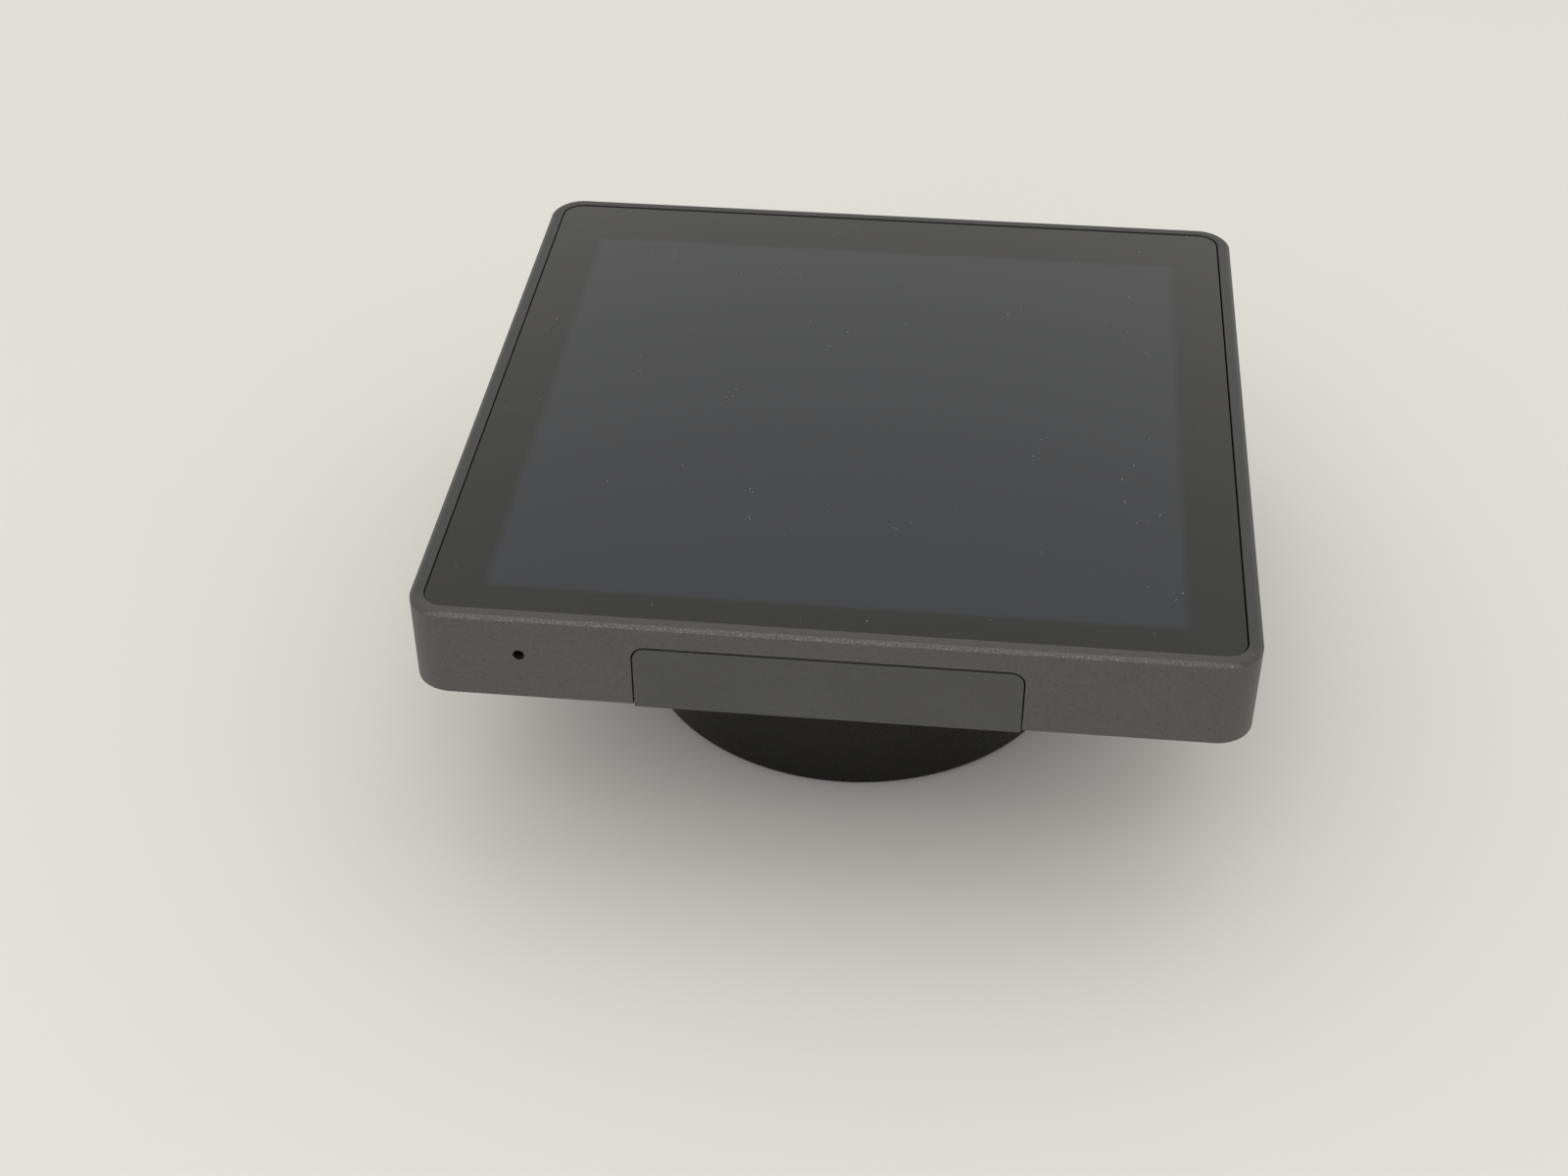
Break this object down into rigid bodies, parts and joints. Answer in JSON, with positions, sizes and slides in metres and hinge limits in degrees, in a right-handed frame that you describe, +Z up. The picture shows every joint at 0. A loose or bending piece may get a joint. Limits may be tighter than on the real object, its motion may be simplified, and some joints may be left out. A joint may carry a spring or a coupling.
{
  "type": "card payment terminal",
  "caption": "Square touch-screen payment terminal: thin slab head with flush dark glass and a hinged front hatch, turning on a weighted round base.",
  "frame": {"origin": "centre of the underside of the foot pad, on the table", "axes": "+Z up, -Y towards the person in front of the hatch edge, +X to the right"},
  "size_m": [0.086, 0.086, 0.0358],
  "materials": {
    "casing": "fine satin texture",
    "cover_plastic": "matt",
    "screen_glass": "polished, black printed border",
    "film": "clear film, dark",
    "display": "unlit display",
    "bezel_metal": "plain sheet",
    "flex": "flexible circuit",
    "copper": "etched coil",
    "ferrite": "ferrite sheet",
    "board_green": "solder mask",
    "chip": "moulded package",
    "gold_can": "plated can",
    "tin_can": "drawn can",
    "cream_plastic": "moulded",
    "cell_steel": "nickel plated",
    "port_steel": "drawn shell",
    "mesh": "acoustic mesh",
    "black_screw": "black oxide",
    "bright_screw": "zinc plated",
    "button_plastic": "satin",
    "plunger_plastic": "moulded black",
    "seal_rubber": "soft rubber",
    "pin_steel": "ground",
    "turned_steel": "turned",
    "acetal": "low friction acetal",
    "base_plastic": "smooth satin black",
    "iron": "painted casting",
    "plate_steel": "zinc plated sheet",
    "foot_rubber": "matt",
    "brass": "turned"
  },
  "bodies": {
    "base": {"base_shell": "base_plastic", "swivel_bush": "acetal", "thrust_washer": "pin_steel", "glide_ring": "acetal", "stop_pin": "pin_steel", "ballast": "iron", "base_plate": "plate_steel", "base_screws": "black_screw", "foot_pad": "foot_rubber", "fixing_insert": "brass"},
    "head": {"housing": "casing", "cover_glass": "screen_glass", "glass_adhesive": "seal_rubber", "touch_film": "film", "lcd_panel": "display", "backlight": "bezel_metal", "display_flex": "flex", "touch_flex": "flex", "nfc_antenna": "copper", "nfc_ferrite": "ferrite", "main_board": "board_green", "board_chips": "chip", "security_cage": "gold_can", "radio_shield": "tin_can", "flex_connectors": "cream_plastic", "backup_cell_holder": "cream_plastic", "backup_cell": "cell_steel", "tamper_contacts": "seal_rubber", "sim_socket": "port_steel", "memory_card_socket": "port_steel", "service_port": "port_steel", "power_inlet": "port_steel", "speaker": "chip", "speaker_mesh": "mesh", "reset_switch": "tin_can", "power_switch": "tin_can", "rear_cover": "cover_plastic", "rear_cover_screws": "black_screw", "board_screws": "bright_screw", "spindle": "turned_steel", "spindle_screws": "black_screw", "wave_washer": "pin_steel", "retaining_ring": "black_screw"},
    "hatch": {"hatch": "casing", "hatch_seal": "seal_rubber", "hatch_pins": "black_screw"},
    "reset_plunger": {"reset_plunger": "plunger_plastic"},
    "power_button": {"power_button": "button_plastic"}
  },
  "joints": [
    {"name": "swivel", "type": "hinge", "parent": "base", "child": "head", "pos_m": [0, 0, 0.0215], "axis": [0, 0, 1], "range_deg": [-150, 150]},
    {"name": "hatch_hinge", "type": "hinge", "parent": "head", "child": "hatch", "pos_m": [0, -0.04205, 0.02625], "axis": [1, 0, 0], "range_deg": [0, 105]},
    {"name": "reset_press", "type": "slide", "parent": "head", "child": "reset_plunger", "axis": [0, 1, 0], "range_m": [0, 0.0003], "stiffness_N_per_m": 600},
    {"name": "power_press", "type": "slide", "parent": "head", "child": "power_button", "axis": [-1, 0, 0], "range_m": [0, 0.0003], "stiffness_N_per_m": 800}
  ]
}
